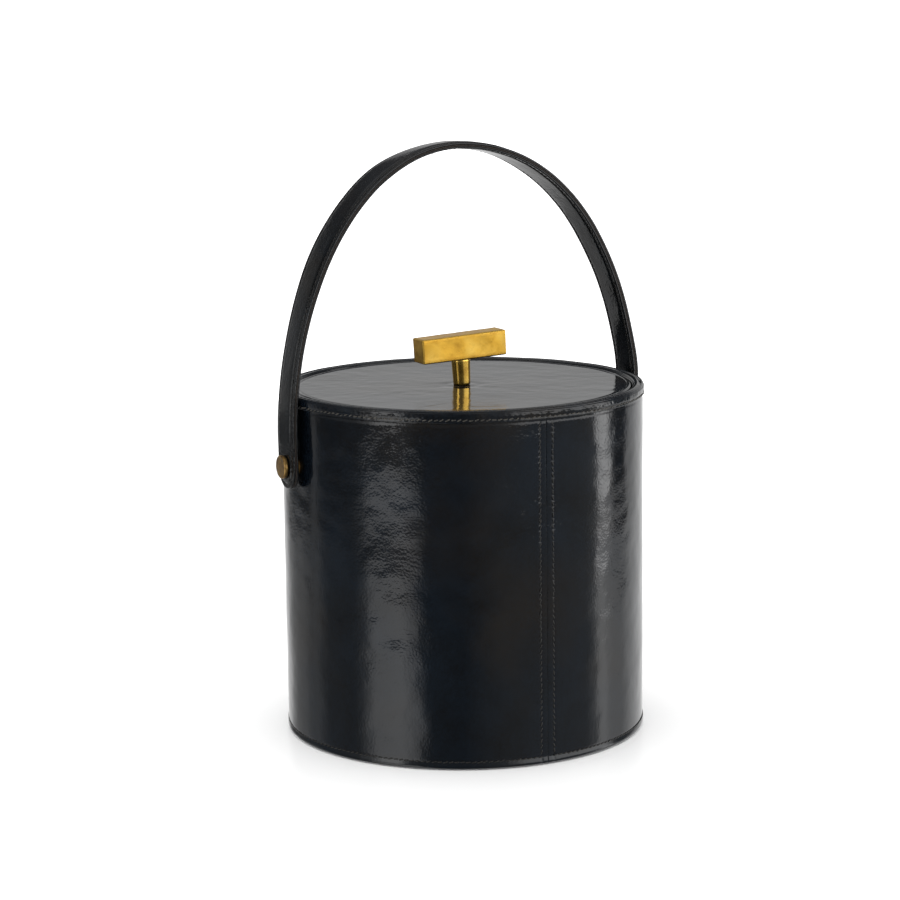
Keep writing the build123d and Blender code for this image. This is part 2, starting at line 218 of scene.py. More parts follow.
# ------------------------------------------------------------ materials
def new_material(name):
    m = bpy.data.materials.new(name)
    m.use_nodes = True
    nt = m.node_tree
    nt.nodes.clear()
    out = nt.nodes.new("ShaderNodeOutputMaterial")
    bsdf = nt.nodes.new("ShaderNodeBsdfPrincipled")
    nt.links.new(bsdf.outputs[0], out.inputs[0])
    coord = nt.nodes.new("ShaderNodeTexCoord")
    return m, nt, bsdf, coord.outputs["Object"]


def mapping(nt, vec, scale=(1, 1, 1), rot=(0, 0, 0), loc=(0, 0, 0)):
    n = nt.nodes.new("ShaderNodeMapping")
    n.inputs["Scale"].default_value = scale
    n.inputs["Rotation"].default_value = rot
    n.inputs["Location"].default_value = loc
    nt.links.new(vec, n.inputs["Vector"])
    return n.outputs[0]


def noise(nt, vec, scale, detail=3.0, rough=0.55, distortion=0.0, dims="3D"):
    n = nt.nodes.new("ShaderNodeTexNoise")
    n.noise_dimensions = dims
    n.inputs["Scale"].default_value = scale
    n.inputs["Detail"].default_value = detail
    n.inputs["Roughness"].default_value = rough
    n.inputs["Distortion"].default_value = distortion
    nt.links.new(vec, n.inputs["Vector"])
    return n.outputs["Fac"]


def voronoi(nt, vec, scale, feature="F1", smooth=None, randomness=1.0):
    n = nt.nodes.new("ShaderNodeTexVoronoi")
    n.feature = feature
    n.inputs["Scale"].default_value = scale
    n.inputs["Randomness"].default_value = randomness
    if smooth is not None and "Smoothness" in n.inputs:
        n.inputs["Smoothness"].default_value = smooth
    nt.links.new(vec, n.inputs["Vector"])
    return n.outputs["Distance"]


def ramp(nt, fac, stops, interp="LINEAR"):
    n = nt.nodes.new("ShaderNodeValToRGB")
    n.color_ramp.interpolation = interp
    el = n.color_ramp.elements
    while len(el) > 1:
        el.remove(el[-1])
    el[0].position, el[0].color = stops[0][0], tuple(stops[0][1]) + (1,)
    for pos, col in stops[1:]:
        e = el.new(pos)
        e.color = tuple(col) + (1,)
    nt.links.new(fac, n.inputs["Fac"])
    return n.outputs["Color"]


def mix_rgb(nt, fac, a, b, mode="MIX"):
    n = nt.nodes.new("ShaderNodeMix")
    n.data_type = "RGBA"
    n.blend_type = mode
    fac_in, a_in, b_in = n.inputs[0], n.inputs[6], n.inputs[7]
    for sock, val in ((fac_in, fac), (a_in, a), (b_in, b)):
        if isinstance(val, (int, float)):
            sock.default_value = val
        elif isinstance(val, tuple):
            sock.default_value = val + (1,)
        else:
            nt.links.new(val, sock)
    return n.outputs[2]


def math_node(nt, op, a, b=None, c=None, clamp=False):
    n = nt.nodes.new("ShaderNodeMath")
    n.operation = op
    n.use_clamp = clamp
    for i, val in enumerate((a, b, c)):
        if val is None:
            continue
        if isinstance(val, (int, float)):
            n.inputs[i].default_value = val
        else:
            nt.links.new(val, n.inputs[i])
    return n.outputs[0]


def remap(nt, v, f0, f1, t0, t1):
    n = nt.nodes.new("ShaderNodeMapRange")
    n.clamp = True
    for i, val in enumerate((f0, f1, t0, t1)):
        n.inputs[i + 1].default_value = val
    nt.links.new(v, n.inputs[0])
    return n.outputs[0]


def bump(nt, height, distance, strength=1.0, normal=None):
    n = nt.nodes.new("ShaderNodeBump")
    n.inputs["Strength"].default_value = strength
    n.inputs["Distance"].default_value = distance
    nt.links.new(height, n.inputs["Height"])
    if normal is not None:
        nt.links.new(normal, n.inputs["Normal"])
    return n.outputs["Normal"]


def leather(name, dark, blue, brown, rough=(0.30, 0.42), coat=0.95, coat_rough=0.08,
            grain=0.000085, grain_scale=640, wave=0.00022, wave_scale=70, seed=0.0, mottle=26):
    """Glazed hide: mottled dye, a fine pebble grain, soft swells, a polished top coat."""
    m, nt, bsdf, vec = new_material(name)
    vec = mapping(nt, vec, loc=(seed, seed * 0.7, -seed * 0.4))
    # dye
    patches = noise(nt, vec, mottle, 5.0, 0.62, 0.6)
    clouds = noise(nt, mapping(nt, vec, loc=(3.1, 1.7, 0.4)), mottle * 0.42, 3.0, 0.55, 0.3)
    base = ramp(nt, patches, [(0.32, dark), (0.50, tuple((d + b) / 2 for d, b in zip(dark, blue))), (0.68, blue)])
    warm = remap(nt, clouds, 0.50, 0.68, 0.0, 0.75)
    base = mix_rgb(nt, warm, base, brown)
    fine = noise(nt, vec, grain_scale * 0.9, 2.0, 0.6)
    base = mix_rgb(nt, remap(nt, fine, 0.35, 0.7, 0.0, 0.35), base, tuple(c * 1.7 for c in blue))
    nt.links.new(base, bsdf.inputs["Base Color"])
    # finish
    r = noise(nt, mapping(nt, vec, loc=(0.9, 2.2, 5.5)), mottle * 1.6, 4.0, 0.6)
    nt.links.new(remap(nt, r, 0.3, 0.7, rough[0], rough[1]), bsdf.inputs["Roughness"])
    bsdf.inputs["Specular IOR Level"].default_value = 0.0
    bsdf.inputs["Coat Weight"].default_value = coat
    bsdf.inputs["Coat Roughness"].default_value = coat_rough
    bsdf.inputs["Coat IOR"].default_value = 1.5
    # relief
    cells = voronoi(nt, vec, grain_scale * 1.15, "SMOOTH_F1", 0.8)
    creases = noise(nt, vec, grain_scale, 1.0, 0.5)
    grain_h = math_node(nt, "ADD", math_node(nt, "MULTIPLY", cells, -0.25), creases)
    pull = noise(nt, mapping(nt, vec, loc=(7.3, 0.2, 1.9)), mottle * 2.0, 2.0, 0.5)
    grain_h = math_node(nt, "MULTIPLY", grain_h, remap(nt, pull, 0.35, 0.65, 0.45, 1.0))
    swell = noise(nt, vec, wave_scale, 2.0, 0.5)
    n1 = bump(nt, swell, wave)
    n2 = bump(nt, grain_h, grain, 1.0, n1)
    nt.links.new(n2, bsdf.inputs["Normal"])
    nt.links.new(n2, bsdf.inputs["Coat Normal"])
    return m


def brass(name, base, dark, light, rough=(0.26, 0.36), brush=(30, 700, 700), patina=0.5, scale=60, edge=None):
    """Satin brass: fine brush lines, cloudy lacquer and darker warm stains."""
    m, nt, bsdf, vec = new_material(name)
    clouds = noise(nt, vec, scale, 4.0, 0.6, 0.5)
    spots = noise(nt, mapping(nt, vec, loc=(1.3, 4.1, 0.2)), scale * 3.2, 5.0, 0.65, 0.2)
    col = ramp(nt, clouds, [(0.30, tuple(0.5 * (b + d) for b, d in zip(base, dark))), (0.48, base), (0.70, light)])
    stain = math_node(nt, "MULTIPLY", remap(nt, spots, 0.52, 0.74, 0.0, 1.0), patina)
    if edge:
        at = nt.nodes.new("ShaderNodeAttribute")
        at.attribute_name = "edge"
        near = remap(nt, at.outputs["Fac"], 0.0, 2.6, 1.0, 0.0)
        worn = remap(nt, at.outputs["Fac"], 0.15, 0.75, 1.0, 0.0)
        stain = math_node(nt, "ADD", stain, math_node(nt, "MULTIPLY", near, edge), clamp=True)
        col = mix_rgb(nt, stain, col, dark)
        col = mix_rgb(nt, math_node(nt, "MULTIPLY", worn, 0.8), col, tuple(min(1.0, c * 1.12) for c in light))
    else:
        col = mix_rgb(nt, stain, col, dark)
    nt.links.new(col, bsdf.inputs["Base Color"])
    bsdf.inputs["Metallic"].default_value = 1.0
    lines = noise(nt, mapping(nt, vec, scale=brush), 3.0, 3.0, 0.7)
    r = math_node(nt, "ADD", remap(nt, clouds, 0.3, 0.7, rough[0], rough[1]),
                  math_node(nt, "MULTIPLY", math_node(nt, "SUBTRACT", lines, 0.5), 0.10))
    nt.links.new(r, bsdf.inputs["Roughness"])
    n1 = bump(nt, lines, 0.000010)
    n2 = bump(nt, spots, 0.00002, 1.0, n1)
    nt.links.new(n2, bsdf.inputs["Normal"])
    return m


def turned_brass(name, base, dark, light):
    """Lathe-turned, aged brass: rings about the X axis."""
    m, nt, bsdf, vec = new_material(name)
    sep = nt.nodes.new("ShaderNodeSeparateXYZ")
    nt.links.new(mapping(nt, vec, loc=(0, 0, -PIVOT_Z * MM)), sep.inputs[0])
    rr = math_node(nt, "SQRT", math_node(nt, "ADD", math_node(nt, "POWER", sep.outputs[1], 2.0),
                                         math_node(nt, "POWER", sep.outputs[2], 2.0)))
    rings = math_node(nt, "SINE", math_node(nt, "MULTIPLY", rr, TAU / 0.00035))
    clouds = noise(nt, vec, 330, 4.0, 0.6, 0.4)
    col = ramp(nt, clouds, [(0.30, dark), (0.52, base), (0.74, light)])
    nt.links.new(col, bsdf.inputs["Base Color"])
    bsdf.inputs["Metallic"].default_value = 1.0
    nt.links.new(remap(nt, clouds, 0.3, 0.7, 0.26, 0.42), bsdf.inputs["Roughness"])
    n1 = bump(nt, rings, 0.000004)
    n2 = bump(nt, clouds, 0.00002, 1.0, n1)
    nt.links.new(n2, bsdf.inputs["Normal"])
    return m


def steel(name, base, rough, brush=(40, 40, 2500), grain=0.000006):
    m, nt, bsdf, vec = new_material(name)
    lines = noise(nt, mapping(nt, vec, scale=brush), 1.0, 4.0, 0.7)
    clouds = noise(nt, vec, 40, 3.0, 0.5)
    col = ramp(nt, clouds, [(0.3, tuple(c * 0.92 for c in base)), (0.7, base)])
    nt.links.new(col, bsdf.inputs["Base Color"])
    bsdf.inputs["Metallic"].default_value = 1.0
    nt.links.new(remap(nt, lines, 0.3, 0.7, rough - 0.05, rough + 0.08), bsdf.inputs["Roughness"])
    nt.links.new(bump(nt, lines, grain), bsdf.inputs["Normal"])
    return m


def fibre(name, low, high, scale, rough, depth, stretch=(1, 1, 1)):
    m, nt, bsdf, vec = new_material(name)
    v = mapping(nt, vec, scale=stretch)
    n = noise(nt, v, scale, 5.0, 0.7, 0.3)
    nt.links.new(ramp(nt, n, [(0.3, low), (0.7, high)]), bsdf.inputs["Base Color"])
    nt.links.new(remap(nt, n, 0.3, 0.7, rough - 0.08, rough + 0.05), bsdf.inputs["Roughness"])
    nt.links.new(bump(nt, n, depth), bsdf.inputs["Normal"])
    return m


LEATHER_DARK = (0.0006, 0.0007, 0.0009)
LEATHER_BLUE = (0.0022, 0.0041, 0.0068)
LEATHER_BROWN = (0.0066, 0.0046, 0.0027)

mat_body = leather("drum_leather", LEATHER_DARK, LEATHER_BLUE, LEATHER_BROWN, coat_rough=0.075,
                   grain=0.000062, grain_scale=820, wave=0.00020, seed=0.0)
mat_lid = leather("lid_leather", LEATHER_DARK, (0.0042, 0.0058, 0.0080), (0.0120, 0.0098, 0.0070), coat_rough=0.11,
                  grain=0.00005, wave=0.00020, wave_scale=80, seed=3.0)
mat_rim = leather("rim_leather", LEATHER_DARK, tuple(c * 0.9 for c in LEATHER_BLUE), LEATHER_BROWN,
                  coat_rough=0.08, grain=0.00009, grain_scale=700, wave=0.00010, wave_scale=260, seed=5.0, mottle=60)
mat_strap = leather("strap_leather", (0.0008, 0.0009, 0.0010), (0.0022, 0.0030, 0.0040), (0.0038, 0.0030, 0.0022),
                    coat_rough=0.10, coat=0.95, grain=0.00012, grain_scale=700, wave=0.00008, wave_scale=200,
                    seed=9.0, mottle=70)
mat_pad = leather("pad_leather", (0.010, 0.009, 0.008), (0.017, 0.015, 0.013), (0.022, 0.018, 0.014), rough=(0.6, 0.75),
                  coat=0.0, grain=0.00009, seed=12.0)
mat_thread = fibre("waxed_thread", (0.0020, 0.0019, 0.0018), (0.0170, 0.0148, 0.0125), 1500, 0.42, 0.00003)
# Rim thread: the same dark waxed thread, lightened and speckled to paint in its highlight specks.
mat_rim_thread_painted_highlight = fibre("rim_thread_painted_highlight", (0.0040, 0.0036, 0.0032), (0.062, 0.056, 0.046), 900, 0.40, 0.00003)
mat_board = fibre("board_edge", (0.007, 0.0042, 0.0026), (0.020, 0.012, 0.007), 900, 0.7, 0.00004)
mat_felt = fibre("grey_felt", (0.10, 0.10, 0.10), (0.24, 0.235, 0.23), 1500, 0.92, 0.0002)
mat_liner = steel("brushed_stainless", (0.62, 0.62, 0.61), 0.28)
mat_zinc = steel("zinc_plate", (0.55, 0.55, 0.54), 0.35, brush=(300, 300, 300))
mat_brass = brass("satin_brass", (0.76, 0.44, 0.058), (0.40, 0.18, 0.020), (0.86, 0.56, 0.11), brush=(40, 900, 900), edge=0.42)
mat_stem = brass("stem_brass", (0.84, 0.53, 0.10), (0.44, 0.24, 0.04), (0.95, 0.66, 0.17),
                 rough=(0.14, 0.20), brush=(700, 700, 30), patina=0.4, scale=160)
mat_stud = turned_brass("aged_brass", (0.37, 0.225, 0.078), (0.15, 0.088, 0.032), (0.54, 0.35, 0.125))

SLOT_MATERIALS = {
    "black_leather": mat_body, "rim_leather": mat_rim, "strap_leather": mat_strap, "pad_leather": mat_pad,
    "board": mat_board, "felt": mat_felt, "stainless": mat_liner, "zinc_steel": mat_zinc,
    "brass": mat_stem, "antique_brass": mat_stud,
}
slots = {s["node"]: s["material_slot"] for s in frame["record"]["subparts"]}
for name, ob in nodes.items():
    mat = SLOT_MATERIALS[slots[name]]
    ob.data.materials.clear()
    ob.data.materials.append(mat)

# ------------------------------------------------------------ side leathers
PITCH = 2.9          # stitch length along every seam
ROW = 3.6            # stitch rows stand this far each side of a seam
SEAM = 0.09          # half the groove
BOTTOM_ROW = 4.3     # height of the stitch row round the foot
RIM_ROW = RIM_TOP - 4.3
RIM_EDGE = rim_hi[2] - 5.5


def stitch_wave(s, pitch=PITCH):
    """1 in the middle of a stitch, 0 at its holes."""
    return 0.5 - 0.5 * np.cos(TAU * s / pitch)


def side_relief(s, z, pts, around):
    """How far the side leather stands proud. s is the distance from the nearer seam."""
    d = 0.07 * field(pts, 46, 11) + 0.022 * field(pts, 15, 12) + 0.006 * field(pts, 5, 13)
    fade = np.clip((z - 6) / 12, 0, 1) * np.clip((RIM_EDGE - z) / 8, 0, 1)
    d *= 0.35 + 0.65 * fade
    hole = 1 - 0.55 * stitch_wave(z)
    d += -0.26 * hole * np.exp(-(((s - ROW + SEAM) / 0.75) ** 2))
    d += 0.05 * np.exp(-(((s - 1.5) / 0.9) ** 2))
    d += 0.03 * np.exp(-(((s - 5.4) / 1.0) ** 2))
    hole_b = 1 - 0.55 * stitch_wave(around)
    d += -0.24 * hole_b * np.exp(-(((z - BOTTOM_ROW) / 0.55) ** 2))
    d += 0.10 * np.exp(-(((z - 2.3) / 1.0) ** 2))
    d += -0.12 * np.exp(-(((z - RIM_EDGE + 0.7) / 0.7) ** 2))
    return d


half_turn = math.pi * R - 2 * SEAM
near = np.concatenate([[0.0, 0.04, 0.10, 0.2, 0.34, 0.6, 1.0], np.arange(1.3, 8.2, 0.36)])
mid = np.linspace(near[-1], half_turn - near[-1], 178)[1:-1]
s_line = np.concatenate([near, mid, half_turn - near[::-1]])
z_rows = np.concatenate([np.arange(FOOT + 1.1, 8.0, 0.45), np.arange(8.0, PANEL_TOP, 0.72), [PANEL_TOP]])

for side, sign in (("left", -1), ("right", 1)):
    phi = sign * (SEAM + s_line) / R
    # closed section: turned foot, outside, top, inside
    foot = arc(0, 1.1, 1.1, -90, 0, 7)                        # rounded lower edge, (dr, dz)
    sec_r = [R - 1.1 + p[0] for p in foot[:-1]] + [R] * len(z_rows)
    sec_z = [FOOT + p[1] for p in foot[:-1]] + list(z_rows)
    n_out = len(sec_r)
    inner_z = np.linspace(PANEL_TOP, FOOT, 5)
    sec_r += [SHELL_R + 0.02] * 5
    sec_z += list(inner_z)
    sec_r, sec_z = np.array(sec_r), np.array(sec_z)
    nu, nv = len(phi), len(sec_r)
    P, S = np.meshgrid(phi, np.arange(nv), indexing="ij")
    rad, zz = np.tile(sec_r, (nu, 1)), np.tile(sec_z, (nu, 1))
    s_grid = np.tile(np.minimum(s_line, half_turn - s_line)[:, None], (1, nv))
    pts = np.stack([R * np.sin(P), -R * np.cos(P), zz], axis=-1).reshape(-1, 3)
    relief = side_relief(s_grid.ravel(), zz.ravel(), pts, (R * P).ravel()).reshape(nu, nv)
    # the leather flares a little at the foot, where it is turned in
    flare = 0.30 * np.exp(-((zz - 1.6) / 1.5) ** 2)
    edge = np.clip(0.28 - s_grid, 0, None)
    turned = 0.28 - np.sqrt(np.clip(0.28 ** 2 - edge ** 2, 0, None))
    outer = np.zeros((nu, nv))
    outer[:, :n_out] = 1
    rad = rad + outer * (relief + flare - turned)
    p = np.stack([rad * np.sin(P), -rad * np.cos(P), zz], axis=-1)
    b = Builder()
    start = b.grid(p, wrap_v=True)
    b.fan(range(start, start + nv))
    b.fan(range(start + (nu - 1) * nv, start + nu * nv), flip=True)
    b.build(f"side_leather_{side}", mat_body, "bucket", [f"leather_panel_{side}"])

# ------------------------------------------------------------ rim binding
n_phi = 832
prof = [(R - 0.02, RIM_EDGE + 0.02)]
prof += arc(RIM_R - 0.32, RIM_EDGE + 0.32, 0.32, -80, 0, 5)
prof += [(RIM_R, z) for z in np.linspace(RIM_EDGE + 0.6, RIM_TOP - 1.35, 9)]
# the fold: a small roll along the outer edge, a crease each side of it, then the inner roll
prof += [(RIM_R - 0.05, RIM_TOP - 1.05), (RIM_R - 0.17, RIM_TOP - 0.84), (RIM_R - 0.36, RIM_TOP - 0.74)]
prof += arc(RIM_R - 1.10, RIM_TOP - 0.60, 0.74, 0, 150, 10)
prof += [(RIM_R - 1.92, RIM_TOP - 0.62), (RIM_R - 2.1, RIM_TOP - 0.80), (RIM_R - 2.5, RIM_TOP - 0.36),
         (RIM_R - 2.9, RIM_TOP - 0.10), (RIM_R - 3.4, RIM_TOP + 0.06), (RIM_R - 4.0, RIM_TOP + 0.02),
         (RIM_R - 4.6, RIM_TOP - 0.16), (RIM_R - 5.1, RIM_TOP - 0.44), (RIM_R - 5.5, RIM_TOP - 0.84)]
prof += arc(RIM_RI + 0.6, RIM_TOP - 1.75, 0.6, 70, 180, 5)
prof += [(RIM_RI, z) for z in np.linspace(RIM_TOP - 2.4, LEDGE, 6)]
prof += [(SHELL_R - 3.0 - 0.02, LEDGE), (SHELL_R - 3.0 - 0.02, PANEL_TOP + 0.02), (R - 0.02, PANEL_TOP + 0.02)]
prof = np.array(prof)
phi = np.linspace(0, TAU, n_phi, endpoint=False)
# even steps all round: the term that would crowd them towards the butt joint at the front is multiplied by zero
phi = phi - 0.35 * np.sin(phi) * 0
P = np.tile(phi[:, None], (1, len(prof)))
rad, zz = np.tile(prof[:, 0], (n_phi, 1)), np.tile(prof[:, 1], (n_phi, 1))
arc_s = P * RIM_R
pts = np.stack([R * np.sin(P), -R * np.cos(P), zz], axis=-1).reshape(-1, 3)
outside = (rad > R + 0.05) & (zz < RIM_TOP - 1.0)
top = zz > RIM_TOP - 1.0
wob = field(pts, 34, 21).reshape(rad.shape)
fine = field(pts, 6, 22).reshape(rad.shape)
hole = 1 - 0.6 * stitch_wave(arc_s)
pucker = np.sin(TAU * arc_s / PITCH + 1.9 * (zz - RIM_ROW)) * np.exp(-((zz - RIM_ROW - 0.9) / 1.3) ** 2)
# the band's lower edge was cut by hand
low = np.exp(-((zz - RIM_EDGE) / 0.6) ** 2) * outside
zz = zz + low * 0.22 * wob
rad = rad + outside * (0.05 * wob + 0.035 * fine + 0.045 * pucker - 0.24 * hole * np.exp(-((zz - RIM_ROW) / 0.5) ** 2)
                       + 0.05 * np.exp(-((zz - RIM_ROW - 1.5) / 0.7) ** 2))
zz = zz + top * (0.03 * wob + 0.008 * fine)
# butt joint in front, over the seam
gap = np.minimum(arc_s, TAU * RIM_R - arc_s)
joint = np.exp(-(gap / 0.5) ** 2)
rad = rad - outside * 0.30 * joint
zz = zz - top * 0.22 * joint
p = np.stack([rad * np.sin(P), -rad * np.cos(P), zz], axis=-1)
b = Builder()
b.grid(p, wrap_u=True, wrap_v=True)
b.build("rim_leather_band", mat_rim, "bucket", ["rim_binding"])

# ------------------------------------------------------------ thread round the drum
rng = np.random.default_rng(71)
b = Builder()
zs = np.arange(BOTTOM_ROW + PITCH * 0.9, RIM_EDGE - 0.6, PITCH)
for base_phi in (0.0, math.pi):
    for s in (-ROW, ROW):
        a = base_phi + s / R
        n = np.array([math.sin(a), -math.cos(a), 0.0])
        c = [n * (R - 0.16) + np.array([0, 0, z]) for z in zs]
        add_stitches(b, c, [np.array([0, 0, 1.0])] * len(c), [n] * len(c), PITCH * 0.93, 0.33, rng,
                     slant=0.30 if s > 0 else -0.30)
b.build("seam_thread", mat_thread, "bucket")

b = Builder()
count = int(round(TAU * R / PITCH))
a = (np.arange(count) + 0.5) / count * TAU
a = a[np.minimum(np.abs(a - math.pi) * R, np.minimum(a, TAU - a) * R) > ROW * 0.6]
n = [np.array([math.sin(t), -math.cos(t), 0.0]) for t in a]
t = [np.array([math.cos(u), math.sin(u), 0.0]) for u in a]
c = [n[i] * (R - 0.10) + np.array([0, 0, BOTTOM_ROW]) for i in range(len(a))]
add_stitches(b, c, t, n, TAU * R / count * 0.93, 0.33, rng, slant=0.22)
b.build("foot_thread", mat_thread, "bucket")

# Rim stitches: the colour of their thread carries painted highlight specks.
b = Builder()
count = int(round(TAU * RIM_R / PITCH))
a = (np.arange(count) + 0.5) / count * TAU
n = [np.array([math.sin(t), -math.cos(t), 0.0]) for t in a]
t = [np.array([math.cos(u), math.sin(u), 0.0]) for u in a]
wander = rng.normal(0, 0.13, len(a))
c = [n[i] * (RIM_R - 0.12) + np.array([0, 0, RIM_ROW + wander[i]]) for i in range(len(a))]
add_stitches(b, c, t, n, TAU * RIM_R / count * 0.88, 0.31, rng, slant=0.26, jitter=0.16)
b.build("rim_thread", mat_rim_thread_painted_highlight, "bucket")

# ------------------------------------------------------------ lid leather
r_in = np.concatenate([[0.0, 1.5, 3.0, 4.0, 4.6, 5.2, 6.0, 7.0, 8.2, 9.6, 11.2, 13.0], np.linspace(15.0, 85.0, 50)])
r_edge = [85.5, 85.9, 86.2, 86.45, 86.7, 87.0, 87.3, 87.7, 88.1]
rr = np.concatenate([r_in, r_edge])
zt = np.full(len(rr), LID_TOP - 0.10)
zt += 0.10 * np.exp(-(rr / 5.2) ** 4) - 0.22 * np.exp(-((rr - 8.6) / 2.6) ** 2)
zt += 0.26 * np.clip((rr - 56) / 30, 0, 1) ** 2
zt += -0.22 * np.exp(-((rr - 86.3) / 0.5) ** 2) + 0.12 * np.clip((rr - 86.7) / 0.7, 0, 1)
edge = arc(LID_R - 0.75, LID_TOP - 0.86, 0.75, 80, 0, 6)
profile = list(zip(rr, zt)) + edge + [(LID_R, LID_LOW + 0.02), (LID_R - 1.4, LID_LOW + 0.02), (4.0, LID_LOW + 0.02), (0.0, LID_LOW + 0.02)]
p = lathe(profile, 300)
flat = p.reshape(-1, 3)
rad = np.hypot(flat[:, 0], flat[:, 1])
upper = (flat[:, 2] > LID_TOP - 0.6) * np.clip((rad - 5.0) / 8.0, 0, 1)
angle = np.arctan2(flat[:, 1], flat[:, 0])
pleats = np.sin(angle * 7 + 0.8) * 0.035 * np.exp(-((rad - 11) / 5.0) ** 2)
front = -flat[:, 0] * math.sin(math.radians(26)) - flat[:, 1] * math.cos(math.radians(26))
upper = upper * (1 - 0.7 * np.clip((front - 34) / 22, 0, 1))      # the hide is pulled tight at the front
flat[:, 2] += upper * (0.028 * field(flat, 30, 31) + 0.017 * field(flat, 11, 32) + 0.008 * field(flat, 5, 33) + 1.7 * pleats)
b = Builder()
b.grid(p, wrap_u=True)
b.build("lid_leather", mat_lid, "lid", ["lid_top_leather"], weld=0.004)

# ------------------------------------------------------------ knob
lean_k = math.radians(2.7)
ax_z = np.array([-math.sin(lean_k), 0, math.cos(lean_k)])
ax_x = np.array([math.cos(lean_k), 0, math.sin(lean_k)])
ax_y = np.array([0.0, 1.0, 0.0])
foot_k = np.array([0, 0, LID_TOP])
BAR_L, BAR_W, BAR_H, STEM_L = 48.5, 12.5, 13.1, 13.9


def to_knob(q):
    return foot_k + q[..., 0:1] * ax_x + q[..., 1:2] * ax_y + q[..., 2:3] * ax_z


half = np.array([BAR_L, BAR_W, BAR_H]) / 2
round_r = 0.75


def axis_steps(h, step):
    inner = np.linspace(-(h - round_r), h - round_r, max(2, int(2 * h / step)))
    edge = np.array([0.15, 0.32, 0.52, 0.75, 1.0]) * round_r
    return np.concatenate([-(h - round_r) - edge[::-1], inner, h - round_r + edge])


b = Builder()
edge_dist = []
steps = [axis_steps(h, 1.2) for h in half]
for axis in range(3):
    u, v = [i for i in range(3) if i != axis]
    for sgn in (-1, 1):
        U, V = np.meshgrid(steps[u], steps[v], indexing="ij")
        q = np.zeros(U.shape + (3,))
        q[..., u], q[..., v], q[..., axis] = U, V, sgn * half[axis]
        c = np.clip(q, -(half - round_r), half - round_r)
        d = q - c
        d /= np.linalg.norm(d, axis=-1, keepdims=True)
        s = c + round_r * d
        flat = s.reshape(-1, 3)
        # hand-polished faces are not quite flat
        s = s + d * (0.035 * field(flat, 16, 41) + 0.012 * field(flat, 6, 42)).reshape(U.shape)[..., None]
        # distance to the nearest edge of the bar
        gaps = np.sort(half - np.abs(s), axis=-1)
        edge_dist.append(np.clip(gaps[..., 1], 0, None).ravel())
        # the bar was filed by hand: a little deeper towards its right end
        s[..., 2] *= 1 + 0.022 * s[..., 0] / half[0]
        b.grid(to_knob(s + np.array([0, 0, STEM_L + BAR_H / 2])), flip=(sgn > 0) ^ (axis == 1))
b.build("brass_bar", mat_brass, "lid", ["knob_bar"], attr={"edge": np.concatenate(edge_dist)}, weld=0.003)

prof = [(0.0, 0.35), (3.9, 0.35), (4.0, 0.0), (4.25, 0.10), (4.46, 0.30)]
prof += [(4.52 + 0.50 * k, 0.34 + (STEM_L - 0.36) * k) for k in np.linspace(0.0, 1.0, 14)]
prof += [(4.9, STEM_L + 0.1), (3.0, STEM_L + 0.1), (3.0, STEM_L + 5.0), (0.0, STEM_L + 5.0)]
b = Builder()
b.grid(to_knob(lathe(prof, 72)), wrap_u=True)
b.build("brass_stem", mat_stem, "lid", ["knob_stem"], weld=0.003)

# ------------------------------------------------------------ handle
STRAP_W = 20.0
STRAP_X = 99.35
CORE_T = 0.4
STRAIGHT = 12.0
END_H = -1.6
RISE = 160.5
LEAN = math.radians(2.1)
up_dir = np.array([0, math.sin(LEAN), math.cos(LEAN)])
across = np.array([0, math.cos(LEAN), -math.sin(LEAN)])


def half_path(bow, bow_r, turn3, turn2, r3, step):
    """Middle line of one arm from the pivot to the apex: points (x, h) and outward normals."""
    a1, a2 = turn3, turn3 + turn2
    x = STRAP_X + bow_r * (1 - math.cos(bow))
    h = STRAIGHT + bow_r * math.sin(bow)
    need_x = -x - r3 * (math.cos(a1) - math.cos(bow))
    need_h = RISE - h - r3 * (math.sin(a1) + math.sin(bow))
    m11, m12 = math.cos(a2) - math.cos(a1), -math.cos(a2)
    m21, m22 = math.sin(a2) - math.sin(a1), 1 - math.sin(a2)
    det = m11 * m22 - m12 * m21
    r2 = (need_x * m22 - m12 * need_h) / det
    r1 = (m11 * need_h - m21 * need_x) / det
    pts, nrm = [], []
    n = int(round((STRAIGHT - END_H) / step))
    for t in np.linspace(0, 1, n, endpoint=False):
        pts.append((STRAP_X, END_H + (STRAIGHT - END_H) * t))
        nrm.append((1.0, 0.0))
    if bow > 0:
        n = max(3, int(round(bow_r * bow / step)))
        for t in np.linspace(0, bow, n, endpoint=False):
            pts.append((STRAP_X + bow_r - bow_r * math.cos(t), STRAIGHT + bow_r * math.sin(t)))
            nrm.append((math.cos(t), -math.sin(t)))
    for radius, first, last in ((r3, -bow, a1), (r2, a1, a2), (r1, a2, math.pi / 2)):
        cx, ch = x - radius * math.cos(first), h - radius * math.sin(first)
        n = max(3, int(round(radius * (last - first) / step)))
        for t in np.linspace(first, last, n, endpoint=False):
            pts.append((cx + radius * math.cos(t), ch + radius * math.sin(t)))
            nrm.append((math.cos(t), math.sin(t)))
        x, h = cx + radius * math.cos(last), ch + radius * math.sin(last)
    return np.array(pts), np.array(nrm)


def full_path(step):
    rp, rn = half_path(math.radians(2.7), 141.9, math.radians(29.1), math.radians(34.6), 174.4, step)
    lp, ln = half_path(0.0, 0.0, math.radians(22.4), math.radians(22.8), 218.2, step)
    lp, ln = lp * [-1, 1], ln * [-1, 1]
    pts = np.concatenate([lp, [[0.0, RISE]], rp[::-1]])
    nrm = np.concatenate([ln, [[0.0, 1.0]], rn[::-1]])
    return pts, nrm


path, path_n = full_path(0.95)
hand = path[:, 1]
right_arm = path[:, 0] > 0
settle = np.where(right_arm, 0.9 * np.exp(-((hand - 38) / 15) ** 2) - 0.9 * np.exp(-((hand - 122) / 32) ** 2), 0.0)
settle = settle - 0.30 * np.exp(-((hand - RISE) / 14) ** 2)
path = path + path_n * settle[:, None]
path_len = np.concatenate([[0], np.cumsum(np.linalg.norm(np.diff(path, axis=0), axis=1))])


